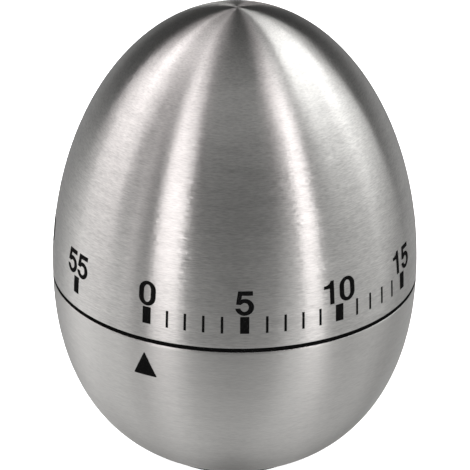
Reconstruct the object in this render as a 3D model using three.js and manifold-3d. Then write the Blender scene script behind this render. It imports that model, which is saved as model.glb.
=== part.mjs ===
// A sixty-minute clockwork kitchen timer in the shape of a standing egg.
// The lower half is a fixed steel bowl that holds the movement; the upper half is a steel dome
// that is turned by hand and winds the mainspring through the central arbor.
// Millimetres, +Z up, origin at the centre of the foot, the pointer faces -Y.

import * as THREE from 'three';
import { mergeVertices } from 'three/addons/utils/BufferGeometryUtils.js';
import Module from 'manifold-3d';

const wasm = await Module();
wasm.setup();

// ---- driving dimensions ----

const EGG_RADIUS = 30;
const WIDEST_Z = 32.4;
const DOME_RISE = 44.6;
const DOME_POWERS = { rise: 2.015, spread: 2.048 };
const BOWL_DEPTH = 33.6;
const BOWL_POWERS = { rise: 2.2, spread: 2.6 };
const DOME_RIM_Z = 32.15;
const BOWL_RIM_Z = 31.65;
const BOWL_MOUTH_RADIUS = 14.9;
const SHEET = 0.6;
const GAP = 0.3;
const MOULDING = 1.2;
const SHELL_SEGMENTS = 36;

const LIP_RADIUS = 29.05;
const LIP_TOP_Z = 33.4;
const SEAM_BAND = { radius: 29.7, low: BOWL_RIM_Z + 0.03, top: DOME_RIM_Z - 0.12 };
const LINER_FLOOR_Z = 2.9;
const CAP_RADIUS = 14.3;
const CAP_BOTTOM_Z = 0.6;
const CAP_TOP_Z = 2.6;
const FOOT_RING = { inner: 11.2, outer: 13.4, top: 1.0 };
const CAP_SCREW_CIRCLE = 8;
const CAP_SCREW_ANGLES = [90, 210, 330];
const CAP_SCREW = { tip: 7, headTop: 1.4, headEnd: 0.8, shank: 0.8, head: 1.6 };
const SCREW_HOLE_RADIUS = 1.1;
const COUNTERBORE = { radius: 1.9, top: 1.7 };
const LINER_POST = { radius: 2, capPostTop: 8.3, capHoleTop: 7.6, mountHoleLow: 6.5 };
const CARRIER = {
  hub: 4,
  hubLow: 37,
  hubTop: 46.2,
  webLow: 38.6,
  webTop: 40.2,
  window: 5,
  windowCircle: 15,
};
const FIT = 0.1;

const PLATE_RADIUS = 22;
const PLATE_THICKNESS = 1.2;
const LOWER_PLATE_Z = 11.5;
const UPPER_PLATE_Z = 26.1;
const LOWER_PLATE_TOP = LOWER_PLATE_Z + PLATE_THICKNESS;
const UPPER_PLATE_TOP = UPPER_PLATE_Z + PLATE_THICKNESS;
const PILLAR_CIRCLE = 20.2;
const PILLAR_ANGLES = [80, 170, 260, 350];
const MOUNT_SCREW_CIRCLE = 15.2;
const MOUNT_SCREW_ANGLES = [40, 160, 280];
const MOUNT_SCREW = { tip: 7, headHeight: 0.9, shank: 0.8, head: 1.5 };
const PILLAR = { radius: 1.4, neck: 0.8, hole: 0.95, foot: 0.3, thread: 2.0 };
const PILLAR_NUT = { thickness: 1.4, acrossCorners: 3.6 };

const ARBOR_RADIUS = 1.5;
const ARBOR_BODY_RADIUS = 1.9;
const ARBOR_LOW_Z = 7.6;
const ARBOR_TOP_Z = 45.5;
const D_SHAFT_Z = 36.6;
const CLIP = { groove: 1.1, grooveLow: 8.1, grooveTop: 8.8, outer: 2.9, inner: 1.25, z: 8.2, thickness: 0.5 };
const THRUST_WASHER = { radius: 3, low: 10.5, top: 11.2 };
const PIVOT_RADIUS = 0.5;
const PIVOT_HOLE_RADIUS = 0.6;
const STAFF_RADIUS = 0.4;

const GREAT_WHEEL = { teeth: 64, module: 0.375, z: 18.4, thickness: 1.0, rim: 2.4, hub: 4.4, spokes: 5 };
const SECOND_PINION = { leaves: 8, module: 0.375, z: 17.9, length: 2.0 };
const SECOND_WHEEL = { teeth: 48, module: 8 / 24, z: 21.4, thickness: 0.8, rim: 1.5, hub: 2, spokes: 4 };
const THIRD_PINION = { leaves: 6, module: 8 / 24, z: 20.9, length: 1.8 };
const THIRD_WHEEL = { teeth: 45, module: 6.6 / 22.5, z: 23.2, thickness: 0.8, rim: 1.3, hub: 1.7, spokes: 4 };
const ESCAPE_PINION = { leaves: 6, module: 6.6 / 22.5, z: 22.8, length: 1.6 };
const ESCAPE_WHEEL = { teeth: 15, radius: 4.5, z: 20.8, thickness: 0.8, rim: 0.8, hub: 1.3, spokes: 3 };
const TRAIN_ARBORS = { second: 0.8, third: 0.6, escape: 0.55 };
const TRAIN_CIRCLE = 13.5;
const SECOND_ANGLE = 20;

const PALLET_CIRCLE = 15;
const PALLET_ANGLE = 115.5;
const PALLET_PIN_CIRCLE = 5.15;
const PALLET_LEVER = { z: 22.0, thickness: 0.6, boss: 1.1, bore: 0.55, pin: 0.25 };
const BALANCE_CIRCLE = 16.2;
const BALANCE_ANGLE = 139.2;
const BALANCE = { rim: 5.3, inner: 4.4, z: 14.2, thickness: 1.0 };

const MAINSPRING = { inner: 2.3, outer: 10.2, turns: 5, thickness: 0.35, z: 13.2, height: 4.2 };
const ROLLER = { radius: 1.5, low: 20.8, top: 21.4, pin: 0.2, pinCircle: 1.1, pinTop: 22.6 };
const COLLET = { inner: 0.52, outer: 1.0, low: 16.4, top: 17.4 };
const SPRING_POST = { circle: 11.2, angle: 230, radius: 0.6, hole: 0.75, top: 17.8 };
const HAIRSPRING = { inner: 1.3, outer: 3.7, turns: 4, thickness: 0.14, z: 16.6, height: 0.6 };

const RATCHET = { teeth: 12, tip: 4.2, root: 3.4, z: 19.8, thickness: 0.9 };
const CLICK_PIVOT_RADIUS = 7.4;
const CLICK = { thickness: 0.7, boss: 1.1, bore: 0.65, screwShank: 0.5, screwHead: 0.9 };
const CLICK_SPRING = { circle: 6.35, drop: 0.9, leaf: 0.3, height: 0.6, angle: 160, sweep: 90, foot: 1.0 };
const STOP_DISC = {
  radius: 8,
  z: 9.2,
  thickness: 1.0,
  notchAngle: 200,
  notchWidth: 2.4,
  notchDepth: 1.3,
};
const LEVER_PIVOT = { circle: 12.5, angle: 235 };
const LEVER = { boss: 1.5, bore: 0.75, studHead: 1.2, stud: 0.6, studLow: 6.6, studNeck: 7.1 };
const LEVER_COIL = { radius: 1.05, wire: 0.3, turns: 2, low: 7.35, angle: 150, leg: 3 };
const HAMMER_PIVOT = { circle: 13.6, angle: 300 };
const HAMMER_REACH = 7.5;
const HAMMER_LEAN = 28;
const HAMMER = { arbor: 0.65, arborTop: 30.4, armZ: 28.2, arm: 0.6, boss: 1.5, bore: 0.8 };
const HAMMER_HEAD = { radius: 1.3, low: 27.8, top: 30.8, bevel: 0.3 };
const HAMMER_COIL = { radius: 1.15, wire: 0.3, turns: 3, low: 22.6, angle: 210, leg: 3 };
const BELL_POST = { flange: 4.6, flangeHeight: 0.7, radius: 3.4, top: 36 };
const BELL_NUT = { thickness: 1.5, acrossCorners: 10.4, bore: 3.6 };
const BELL = { rim: 16, rimZ: 28.9, crownZ: 34.0, wall: 0.8, bore: 3.7 };

// ---- materials ----

function finish(color, roughness, metalness) {
  return new THREE.MeshStandardMaterial({ color, roughness, metalness });
}

const brushedSteel = () => finish(0xb9b7b5, 0.35, 1.0);
const blackPlastic = () => finish(0x151515, 0.6, 0.0);
const greyPlastic = () => finish(0x3a3b3d, 0.55, 0.0);
const rubber = () => finish(0x1b1b1c, 0.9, 0.0);
const brass = () => finish(0xc6a35a, 0.35, 1.0);
const turnedSteel = () => finish(0x9c9da0, 0.3, 1.0);
const blueSteel = () => finish(0x4a5568, 0.35, 1.0);
const nickel = () => finish(0xcfcbc2, 0.2, 1.0);

// ---- placing ----

const timer = new THREE.Group();

function polar(radius, degrees) {
  const angle = THREE.MathUtils.degToRad(degrees);
  return new THREE.Vector2(radius * Math.cos(angle), radius * Math.sin(angle));
}

function directionFrom(start, end) {
  return Math.atan2(end.y - start.y, end.x - start.x);
}

function arborGroup(centre) {
  const group = new THREE.Group();
  group.position.set(centre.x, centre.y, 0);
  timer.add(group);
  return group;
}

function addPiece(name, geometry, material, parent = timer, turn = 0) {
  const mesh = new THREE.Mesh(geometry, material);
  mesh.name = name;
  mesh.rotation.z = turn;
  parent.add(mesh);
  return mesh;
}

// ---- forming ----

// A turned part: the profile is a list of [radius, height] that starts and ends on the axis
// or closes on itself, listed so that the material lies to its left.
function turned(profile, segments = 24) {
  const points = profile.map(([radius, height]) => new THREE.Vector2(radius, height));
  const geometry = new THREE.LatheGeometry(points, segments);
  geometry.rotateX(Math.PI / 2);
  return geometry;
}

function tube(inner, outer, low, high, segments = 24) {
  return turned([[inner, low], [outer, low], [outer, high], [inner, high], [inner, low]], segments);
}

function rod(radius, low, high, segments = 16) {
  return turned([[0, low], [radius, low], [radius, high], [0, high]], segments);
}

function stamped(shape, low, thickness, curveSegments = 12) {
  const settings = { depth: thickness, bevelEnabled: false, curveSegments };
  const geometry = new THREE.ExtrudeGeometry(shape, settings);
  geometry.translate(0, 0, low);
  return geometry;
}

function circlePoints(radius, count, x = 0, y = 0) {
  const points = [];
  for (let i = 0; i < count; i += 1) {
    const point = polar(radius, 360 * i / count);
    points.push(new THREE.Vector2(point.x + x, point.y + y));
  }
  return points;
}

function roundHole(radius, x = 0, y = 0, count = 10) {
  return new THREE.Path(circlePoints(radius, count, x, y));
}

function toSolid(geometry) {
  const bare = geometry.clone();
  bare.deleteAttribute('normal');
  bare.deleteAttribute('uv');
  const merged = mergeVertices(bare, 1e-4);
  const corners = merged.index.array;
  const kept = [];
  for (let i = 0; i < corners.length; i += 3) {
    const [a, b, c] = corners.slice(i, i + 3);
    if (a !== b && b !== c && c !== a) {
      kept.push(a, b, c);
    }
  }
  return new wasm.Manifold(new wasm.Mesh({
    numProp: 3,
    vertProperties: Float32Array.from(merged.getAttribute('position').array),
    triVerts: Uint32Array.from(kept),
  }));
}

function toGeometry(solid) {
  const mesh = solid.getMesh();
  const geometry = new THREE.BufferGeometry();
  geometry.setAttribute('position', new THREE.BufferAttribute(mesh.vertProperties, 3));
  geometry.setIndex(new THREE.BufferAttribute(mesh.triVerts, 1));
  geometry.computeVertexNormals();
  return geometry;
}

function joined(base, additions, cuts = []) {
  let solid = toSolid(base);
  for (const addition of additions) {
    solid = solid.add(toSolid(addition));
  }
  for (const cut of cuts) {
    solid = solid.subtract(toSolid(cut));
  }
  return toGeometry(solid);
}

function moved(geometry, centre) {
  geometry.translate(centre.x, centre.y, 0);
  return geometry;
}

// ---- egg outline ----

// One quarter of the outline, from the widest plane (share 0) to the pole (share 1).
function eggPoint(rise, powers, share) {
  const angle = share * Math.PI / 2;
  const radius = EGG_RADIUS * Math.cos(angle) ** (2 / powers.spread);
  const height = rise * Math.sin(angle) ** (2 / powers.rise);
  return new THREE.Vector2(Math.max(radius, 0), height);
}

// The same outline point pushed inwards along its normal.
function insetPoint(rise, powers, share, inset) {
  const step = 1e-4;
  const before = eggPoint(rise, powers, Math.max(share - step, 0));
  const after = eggPoint(rise, powers, Math.min(share + step, 1));
  const along = after.clone().sub(before).normalize();
  const point = eggPoint(rise, powers, share);
  return new THREE.Vector2(point.x - along.y * inset, point.y + along.x * inset);
}

function shareAt(radius, powers) {
  return 2 / Math.PI * Math.acos((radius / EGG_RADIUS) ** (powers.spread / 2));
}

function evenShares(start, end, steps) {
  return Array.from({ length: steps + 1 }, (_, i) => start + (end - start) * i / steps);
}

// The shells and the mouldings inside them share these stations, so their walls stay parallel.
const DOME_SHARES = evenShares(0.015, 0.975, 12);
const BOWL_SHARES = evenShares(0.04, shareAt(BOWL_MOUTH_RADIUS, BOWL_POWERS), 9);

// Points of the dome from the rim up, as [radius, height].
function domeLine(inset, shares) {
  return shares.map((share) => {
    const point = insetPoint(DOME_RISE, DOME_POWERS, share, inset);
    return [point.x, WIDEST_Z + point.y];
  });
}

// Points of the bowl from the rim down, as [radius, height].
function bowlLine(inset, shares) {
  return shares.map((share) => {
    const point = insetPoint(BOWL_DEPTH, BOWL_POWERS, share, inset);
    return [point.x, WIDEST_Z - point.y];
  });
}

// ---- shells ----

function makeDome() {
  return turned([
    [0, WIDEST_Z + DOME_RISE - SHEET],
    ...domeLine(SHEET, DOME_SHARES).reverse(),
    [EGG_RADIUS - SHEET, DOME_RIM_Z],
    [EGG_RADIUS, DOME_RIM_Z],
    ...domeLine(0, DOME_SHARES),
    [0, WIDEST_Z + DOME_RISE],
  ], SHELL_SEGMENTS);
}

function makeBowl() {
  const outside = bowlLine(0, BOWL_SHARES).reverse();
  return turned([
    ...outside,
    [EGG_RADIUS, BOWL_RIM_Z],
    [EGG_RADIUS - SHEET, BOWL_RIM_Z],
    ...bowlLine(SHEET, BOWL_SHARES),
    outside[0],
  ], SHELL_SEGMENTS);
}

// The black moulding inside the bowl. Its lip stands up inside the dome's rim and is what
// shows in the joint between the two shells.
function makeBowlLiner() {
  const shares = BOWL_SHARES.filter((share) => share < shareAt(19, BOWL_POWERS));
  const outer = bowlLine(SHEET + GAP, shares);
  const inner = bowlLine(SHEET + GAP + MOULDING, shares);
  const floorTop = LINER_FLOOR_Z + MOULDING;
  const shell = turned([
    [0, LINER_FLOOR_Z],
    [15.4, LINER_FLOOR_Z],
    ...outer.reverse(),
    [LIP_RADIUS, BOWL_RIM_Z - 1],
    [LIP_RADIUS, SEAM_BAND.low],
    [SEAM_BAND.radius, SEAM_BAND.low],
    [SEAM_BAND.radius, SEAM_BAND.top],
    [LIP_RADIUS, SEAM_BAND.top],
    [LIP_RADIUS, LIP_TOP_Z],
    [LIP_RADIUS - MOULDING, LIP_TOP_Z],
    [LIP_RADIUS - MOULDING, BOWL_RIM_Z - 1],
    ...inner,
    [14.8, floorTop],
    [0, floorTop],
  ], SHELL_SEGMENTS);
  const postTop = LOWER_PLATE_Z - GAP;
  const pegs = [];
  const holes = [];
  for (const angle of MOUNT_SCREW_ANGLES) {
    const centre = polar(MOUNT_SCREW_CIRCLE, angle);
    pegs.push(moved(rod(LINER_POST.radius, floorTop - 0.05, postTop, 12), centre));
    holes.push(moved(rod(SCREW_HOLE_RADIUS, LINER_POST.mountHoleLow, LOWER_PLATE_Z, 10), centre));
  }
  for (const angle of CAP_SCREW_ANGLES) {
    const centre = polar(CAP_SCREW_CIRCLE, angle);
    pegs.push(moved(rod(LINER_POST.radius, floorTop - 0.5, LINER_POST.capPostTop, 12), centre));
    holes.push(moved(rod(SCREW_HOLE_RADIUS, 0, LINER_POST.capHoleTop, 10), centre));
  }
  return joined(shell, pegs, holes);
}

function makeBaseCap() {
  const grooveInner = FOOT_RING.inner - 0.2;
  const grooveOuter = FOOT_RING.outer + 0.2;
  const grooveTop = FOOT_RING.top + GAP;
  const disc = turned([
    [0, CAP_BOTTOM_Z],
    [grooveInner, CAP_BOTTOM_Z],
    [grooveInner, grooveTop],
    [grooveOuter, grooveTop],
    [grooveOuter, CAP_BOTTOM_Z],
    [CAP_RADIUS - 0.3, CAP_BOTTOM_Z],
    [CAP_RADIUS, CAP_BOTTOM_Z + 0.3],
    [CAP_RADIUS, CAP_TOP_Z],
    [0, CAP_TOP_Z],
  ], SHELL_SEGMENTS);
  const cuts = [];
  for (const angle of CAP_SCREW_ANGLES) {
    const centre = polar(CAP_SCREW_CIRCLE, angle);
    cuts.push(moved(rod(SCREW_HOLE_RADIUS, 0, LINER_FLOOR_Z, 10), centre));
    cuts.push(moved(rod(COUNTERBORE.radius, 0, COUNTERBORE.top, 12), centre));
  }
  return joined(disc, [], cuts);
}

// The inside of the dome: a ring that fits the shell, a web and a hub with a D-shaped bore.
function makeDialCarrier() {
  const shares = evenShares(0.03, 0.34, 5);
  const outer = domeLine(SHEET + GAP + 0.1, shares);
  const inner = domeLine(SHEET + GAP + MOULDING, shares).reverse();
  const { hub, hubLow, hubTop, webLow, webTop } = CARRIER;
  const webIndex = inner.findIndex(([, height]) => height < webTop);
  const aboveWeb = inner.slice(0, webIndex);
  const belowWeb = inner.slice(webIndex).filter(([, height]) => height < webLow);
  const webRadius = (aboveWeb[aboveWeb.length - 1][0] + belowWeb[0][0]) / 2;
  const body = turned([
    [0, hubLow],
    [hub, hubLow],
    [hub, webLow],
    [webRadius, webLow],
    ...belowWeb,
    ...outer,
    ...aboveWeb,
    [webRadius, webTop],
    [hub, webTop],
    [hub, hubTop],
    [0, hubTop],
  ], SHELL_SEGMENTS);
  const bore = dShaft(ARBOR_RADIUS + 0.15, hubLow - 1, ARBOR_TOP_Z + GAP);
  const window = rod(CARRIER.window, webLow - 1, webTop + 1, 14);
  const cuts = [bore];
  for (let i = 0; i < 6; i += 1) {
    cuts.push(moved(window.clone(), polar(CARRIER.windowCircle, 60 * i)));
  }
  return joined(body, [], cuts);
}

function dShaft(radius, low, high) {
  const shape = new THREE.Shape();
  const flat = THREE.MathUtils.degToRad(40);
  shape.absarc(0, 0, radius, flat, 2 * Math.PI - flat, false);
  shape.closePath();
  return stamped(shape, low, high - low, 8);
}

function makeFootRing() {
  return tube(FOOT_RING.inner, FOOT_RING.outer, 0, FOOT_RING.top, SHELL_SEGMENTS);
}

// ---- screws and nuts ----

// A pan-head screw: the shank reaches from the tip up (or down) to the head.
function makeScrew(tipZ, headZ, headEndZ, shank, head) {
  const low = Math.min(tipZ, headEndZ);
  const high = Math.max(tipZ, headEndZ);
  const lowRadius = tipZ < headEndZ ? shank : head;
  const highRadius = tipZ < headEndZ ? head : shank;
  const solid = turned([
    [0, low],
    [lowRadius, low],
    [lowRadius, headZ],
    [highRadius, headZ],
    [highRadius, high],
    [0, high],
  ], 12);
  const slot = new THREE.BoxGeometry(head * 2.4, 0.4, 0.8);
  slot.translate(0, 0, headEndZ);
  return joined(solid, [], [slot]);
}

function makeHexNut(low, thickness, acrossCorners, bore) {
  const shape = new THREE.Shape();
  for (let i = 0; i < 6; i += 1) {
    const corner = polar(acrossCorners / 2, 60 * i);
    if (i === 0) {
      shape.moveTo(corner.x, corner.y);
    } else {
      shape.lineTo(corner.x, corner.y);
    }
  }
  shape.closePath();
  shape.holes.push(roundHole(bore));
  return stamped(shape, low, thickness);
}

// ---- frame of the movement ----

const secondAt = polar(TRAIN_CIRCLE, SECOND_ANGLE);
const secondToThird = (SECOND_WHEEL.teeth + THIRD_PINION.leaves) * SECOND_WHEEL.module / 2;
const thirdToEscape = (THIRD_WHEEL.teeth + ESCAPE_PINION.leaves) * THIRD_WHEEL.module / 2;
const stepBetween = (chord) => THREE.MathUtils.radToDeg(2 * Math.asin(chord / 2 / TRAIN_CIRCLE));
const thirdAngle = SECOND_ANGLE + stepBetween(secondToThird);
const thirdAt = polar(TRAIN_CIRCLE, thirdAngle);
const escapeAngle = thirdAngle + stepBetween(thirdToEscape);
const escapeAt = polar(TRAIN_CIRCLE, escapeAngle);
const palletAt = polar(PALLET_CIRCLE, PALLET_ANGLE);
const balanceAt = polar(BALANCE_CIRCLE, BALANCE_ANGLE);
const leverAt = polar(LEVER_PIVOT.circle, LEVER_PIVOT.angle);
const hammerAt = polar(HAMMER_PIVOT.circle, HAMMER_PIVOT.angle);

function plateShape(extraHoles) {
  const shape = new THREE.Shape(circlePoints(PLATE_RADIUS, SHELL_SEGMENTS));
  shape.holes.push(roundHole(ARBOR_RADIUS + 0.12, 0, 0, 20));
  for (const centre of [secondAt, thirdAt, escapeAt, palletAt, balanceAt]) {
    shape.holes.push(roundHole(PIVOT_HOLE_RADIUS, centre.x, centre.y));
  }
  shape.holes.push(roundHole(PIVOT_HOLE_RADIUS + 0.2, hammerAt.x, hammerAt.y));
  for (const angle of PILLAR_ANGLES) {
    const centre = polar(PILLAR_CIRCLE, angle);
    shape.holes.push(roundHole(PILLAR.hole, centre.x, centre.y));
  }
  for (const [radius, centre] of extraHoles) {
    shape.holes.push(roundHole(radius, centre.x, centre.y));
  }
  return shape;
}

function makeLowerPlate() {
  const holes = MOUNT_SCREW_ANGLES.map((angle) => [1.0, polar(MOUNT_SCREW_CIRCLE, angle)]);
  holes.push([LEVER.bore, leverAt]);
  holes.push([SPRING_POST.hole, polar(SPRING_POST.circle, SPRING_POST.angle)]);
  return stamped(plateShape(holes), LOWER_PLATE_Z, PLATE_THICKNESS);
}

function makeUpperPlate() {
  const windows = [190, 240, 335].map((angle) => [2.6, polar(9.5, angle)]);
  return stamped(plateShape(windows), UPPER_PLATE_Z, PLATE_THICKNESS);
}

// A shouldered pillar with a riveted foot below and a threaded end for its nut above.
function makePillar() {
  return turned([
    [0, LOWER_PLATE_Z - PILLAR.foot],
    [PILLAR.neck, LOWER_PLATE_Z - PILLAR.foot],
    [PILLAR.neck, LOWER_PLATE_TOP + FIT],
    [PILLAR.radius, LOWER_PLATE_TOP + FIT],
    [PILLAR.radius, UPPER_PLATE_Z - FIT],
    [PILLAR.neck, UPPER_PLATE_Z - FIT],
    [PILLAR.neck, UPPER_PLATE_TOP + PILLAR.thread],
    [0, UPPER_PLATE_TOP + PILLAR.thread],
  ], 10);
}

// ---- winding arbor and mainspring ----

function makeMainArbor() {
  const shaft = turned([
    [0, ARBOR_LOW_Z],
    [ARBOR_RADIUS, ARBOR_LOW_Z],
    [ARBOR_RADIUS, CLIP.grooveLow],
    [CLIP.groove, CLIP.grooveLow],
    [CLIP.groove, CLIP.grooveTop],
    [ARBOR_RADIUS, CLIP.grooveTop],
    [ARBOR_RADIUS, LOWER_PLATE_TOP + FIT],
    [ARBOR_BODY_RADIUS, LOWER_PLATE_TOP + FIT],
    [ARBOR_BODY_RADIUS, UPPER_PLATE_Z - 2 * FIT],
    [ARBOR_RADIUS, UPPER_PLATE_Z - 2 * FIT],
    [ARBOR_RADIUS, D_SHAFT_Z],
    [0, D_SHAFT_Z],
  ], 18);
  return joined(shaft, [dShaft(ARBOR_RADIUS - 0.02, D_SHAFT_Z - 0.4, ARBOR_TOP_Z)]);
}

function makeArborClip() {
  const shape = new THREE.Shape();
  const mouth = THREE.MathUtils.degToRad(35);
  shape.absarc(0, 0, CLIP.outer, mouth, 2 * Math.PI - mouth, false);
  shape.absarc(0, 0, CLIP.inner, 2 * Math.PI - mouth * 1.4, mouth * 1.4, true);
  shape.closePath();
  return stamped(shape, CLIP.z, CLIP.thickness, 7);
}

// A flat ribbon wound as a spiral, as thick as the ribbon and standing on its edge.
function makeSpiral({ inner, outer, turns, thickness, z, height }, stepsPerTurn, startDegrees) {
  const steps = turns * stepsPerTurn;
  const along = (i, offset) => polar(inner + (outer - inner) * i / steps + offset,
    startDegrees + 360 * i / stepsPerTurn);
  const points = [];
  for (let i = 0; i <= steps; i += 1) {
    points.push(along(i, thickness / 2));
  }
  for (let i = steps; i >= 0; i -= 1) {
    points.push(along(i, -thickness / 2));
  }
  return stamped(new THREE.Shape(points), z, height);
}

// ---- wheels and pinions ----

// Tooth outline repeated around a circle, from [radius, share of the tooth pitch] pairs.
function toothed(count, tooth) {
  const points = [];
  for (let i = 0; i < count; i += 1) {
    for (const [radius, share] of tooth) {
      points.push(polar(radius, (i + share) * 360 / count));
    }
  }
  return new THREE.Shape(points);
}

function wheelOutline({ teeth, module }) {
  const pitch = teeth * module / 2;
  const root = pitch - 1.3 * module;
  const tip = pitch + 1.0 * module;
  return toothed(teeth, [[root, -0.22], [tip, -0.05], [tip, 0.05], [root, 0.22]]);
}

function pinionOutline({ leaves, module }) {
  const pitch = leaves * module / 2;
  const root = pitch - 1.5 * module;
  const tip = pitch + 0.5 * module;
  return toothed(leaves, [[root, -0.14], [tip, -0.07], [tip, 0.07], [root, 0.14]]);
}

function makeWheel(size, bore) {
  const shape = size.radius ? escapeOutline(size) : wheelOutline(size);
  shape.holes.push(roundHole(bore, 0, 0, 12));
  const pitch = size.radius ? size.radius - 1.1 : size.teeth * size.module / 2;
  const outer = pitch - size.rim;
  const sector = 360 / size.spokes;
  const halfSpoke = 0.45;
  for (let i = 0; i < size.spokes; i += 1) {
    const outerTrim = THREE.MathUtils.radToDeg(Math.asin(halfSpoke / outer));
    const hubTrim = THREE.MathUtils.radToDeg(Math.asin(halfSpoke / size.hub));
    const points = [];
    const arcSteps = 4;
    for (let k = 0; k <= arcSteps; k += 1) {
      const share = k / arcSteps;
      points.push(polar(outer, sector * i + outerTrim + (sector - 2 * outerTrim) * share));
    }
    for (let k = 0; k <= 2; k += 1) {
      const share = 1 - k / 2;
      points.push(polar(size.hub, sector * i + hubTrim + (sector - 2 * hubTrim) * share));
    }
    shape.holes.push(new THREE.Path(points));
  }
  return stamped(shape, size.z, size.thickness);
}

// The escape wheel has slender pointed teeth that lean forward.
function escapeOutline({ teeth, radius }) {
  return toothed(teeth, [[radius - 1.0, -0.28], [radius, 0.02], [radius, 0.1], [radius - 1.0, 0.12]]);
}

// A steel pinion cut on its arbor, with a pivot at each end.
function makePinionArbor(size, arborRadius, seatZ) {
  const arbor = turned([
    [0, LOWER_PLATE_Z + 0.1],
    [PIVOT_RADIUS, LOWER_PLATE_Z + 0.1],
    [PIVOT_RADIUS, LOWER_PLATE_TOP + 0.2],
    [arborRadius, LOWER_PLATE_TOP + 0.2],
    [arborRadius, UPPER_PLATE_Z - 0.2],
    [PIVOT_RADIUS, UPPER_PLATE_Z - 0.2],
    [PIVOT_RADIUS, UPPER_PLATE_TOP - 0.1],
    [0, UPPER_PLATE_TOP - 0.1],
  ], 10);
  const pinion = stamped(pinionOutline(size), size.z, size.length);
  const seat = rod(arborRadius + 0.25, seatZ - 0.5, seatZ - 0.1, 10);
  return joined(arbor, [pinion, seat]);
}

// ---- ratchet and click ----

function makeRatchetWheel() {
  const shape = toothed(RATCHET.teeth, [[RATCHET.root, 0], [RATCHET.tip, 0]]);
  shape.holes.push(roundHole(ARBOR_BODY_RADIUS + 0.12, 0, 0, 16));
  return stamped(shape, RATCHET.z, RATCHET.thickness);
}

function makeClick() {
  const pivot = polar(CLICK_PIVOT_RADIUS, 0);
  const nose = polar(3.75, 50.5);
  const heel = polar(4.8, 50);
  const arm = new THREE.Shape([
    new THREE.Vector2(pivot.x - 0.2, pivot.y + 0.1),
    new THREE.Vector2(pivot.x + 0.7, pivot.y + 0.7),
    heel,
    nose,
  ]);
  const boss = moved(rod(CLICK.boss, RATCHET.z, RATCHET.z + CLICK.thickness, 14), pivot);
  const hole = moved(rod(CLICK.bore, RATCHET.z - 1, RATCHET.z + 2, 12), pivot);
  const click = joined(stamped(arm, RATCHET.z, CLICK.thickness), [boss], [hole]);
  click.translate(-pivot.x, -pivot.y, 0);
  return click;
}

function makeClickSpring() {
  const { circle, drop, leaf, height, angle, sweep, foot } = CLICK_SPRING;
  const steps = 10;
  const along = (i, offset) => polar(circle + offset - drop * i / steps, angle - sweep * i / steps);
  const points = [];
  for (let i = 0; i <= steps; i += 1) {
    points.push(along(i, -leaf / 2));
  }
  for (let i = steps; i >= 0; i -= 1) {
    points.push(along(i, leaf / 2));
  }
  const blade = stamped(new THREE.Shape(points), RATCHET.z, height);
  const pad = moved(rod(foot, RATCHET.z, RATCHET.z + height, 12), polar(circle, angle + 3));
  return joined(blade, [pad]);
}

// ---- escapement ----

function makePalletLever() {
  const escapeDirection = directionFrom(palletAt, escapeAt);
  const balanceDirection = directionFrom(palletAt, balanceAt);
  const gapToEscape = palletAt.distanceTo(escapeAt);
  const gapToBalance = palletAt.distanceTo(balanceAt);
  const spread = THREE.MathUtils.degToRad(32);
  const pinForward = gapToEscape - PALLET_PIN_CIRCLE * Math.cos(spread);
  const pinSide = PALLET_PIN_CIRCLE * Math.sin(spread);
  const anchor = new THREE.Shape([
    new THREE.Vector2(-0.7, -0.6),
    new THREE.Vector2(0.6, -0.6),
    new THREE.Vector2(pinForward + 0.5, -pinSide - 0.3),
    new THREE.Vector2(pinForward + 0.2, -pinSide + 0.5),
    new THREE.Vector2(1.0, 0),
    new THREE.Vector2(pinForward + 0.2, pinSide - 0.5),
    new THREE.Vector2(pinForward + 0.5, pinSide + 0.3),
    new THREE.Vector2(0.6, 0.6),
    new THREE.Vector2(-0.7, 0.6),
  ]);
  const anchorSolid = stamped(anchor, PALLET_LEVER.z, PALLET_LEVER.thickness);
  anchorSolid.rotateZ(escapeDirection);
  const reach = gapToBalance - 1.75;
  const fork = new THREE.Shape([
    new THREE.Vector2(0, -0.45),
    new THREE.Vector2(reach - 0.9, -0.35),
    new THREE.Vector2(reach, -0.85),
    new THREE.Vector2(reach, -0.35),
    new THREE.Vector2(reach - 0.6, 0),
    new THREE.Vector2(reach, 0.35),
    new THREE.Vector2(reach, 0.85),
    new THREE.Vector2(reach - 0.9, 0.35),
    new THREE.Vector2(0, 0.45),
  ]);
  const forkSolid = stamped(fork, PALLET_LEVER.z, PALLET_LEVER.thickness);
  forkSolid.rotateZ(balanceDirection);
  const boss = rod(PALLET_LEVER.boss, PALLET_LEVER.z, PALLET_LEVER.z + PALLET_LEVER.thickness, 14);
  const pins = [-1, 1].map((side) => {
    const offset = new THREE.Vector2(pinForward, side * pinSide);
    offset.rotateAround(new THREE.Vector2(), escapeDirection);
    return moved(rod(PALLET_LEVER.pin, ESCAPE_WHEEL.z - 0.2, PALLET_LEVER.z + 0.4, 8), offset);
  });
  const bore = rod(PALLET_LEVER.bore, PALLET_LEVER.z - 1, PALLET_LEVER.z + 2, 12);
  return joined(boss, [anchorSolid, forkSolid, ...pins], [bore]);
}

function makeStaff(bodyRadius) {
  return turned([
    [0, LOWER_PLATE_Z + 0.1],
    [bodyRadius, LOWER_PLATE_Z + 0.1],
    [bodyRadius, UPPER_PLATE_TOP - 0.1],
    [0, UPPER_PLATE_TOP - 0.1],
  ], 12);
}

// The balance staff carries a small roller with the impulse pin that the lever's fork drives.
function makeBalanceStaff() {
  const roller = rod(ROLLER.radius, ROLLER.low, ROLLER.top, 16);
  const pin = rod(ROLLER.pin, ROLLER.top - 0.2, ROLLER.pinTop, 8);
  return joined(makeStaff(STAFF_RADIUS), [roller, moved(pin, polar(ROLLER.pinCircle, BALANCE_ANGLE + 90))]);
}

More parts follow.
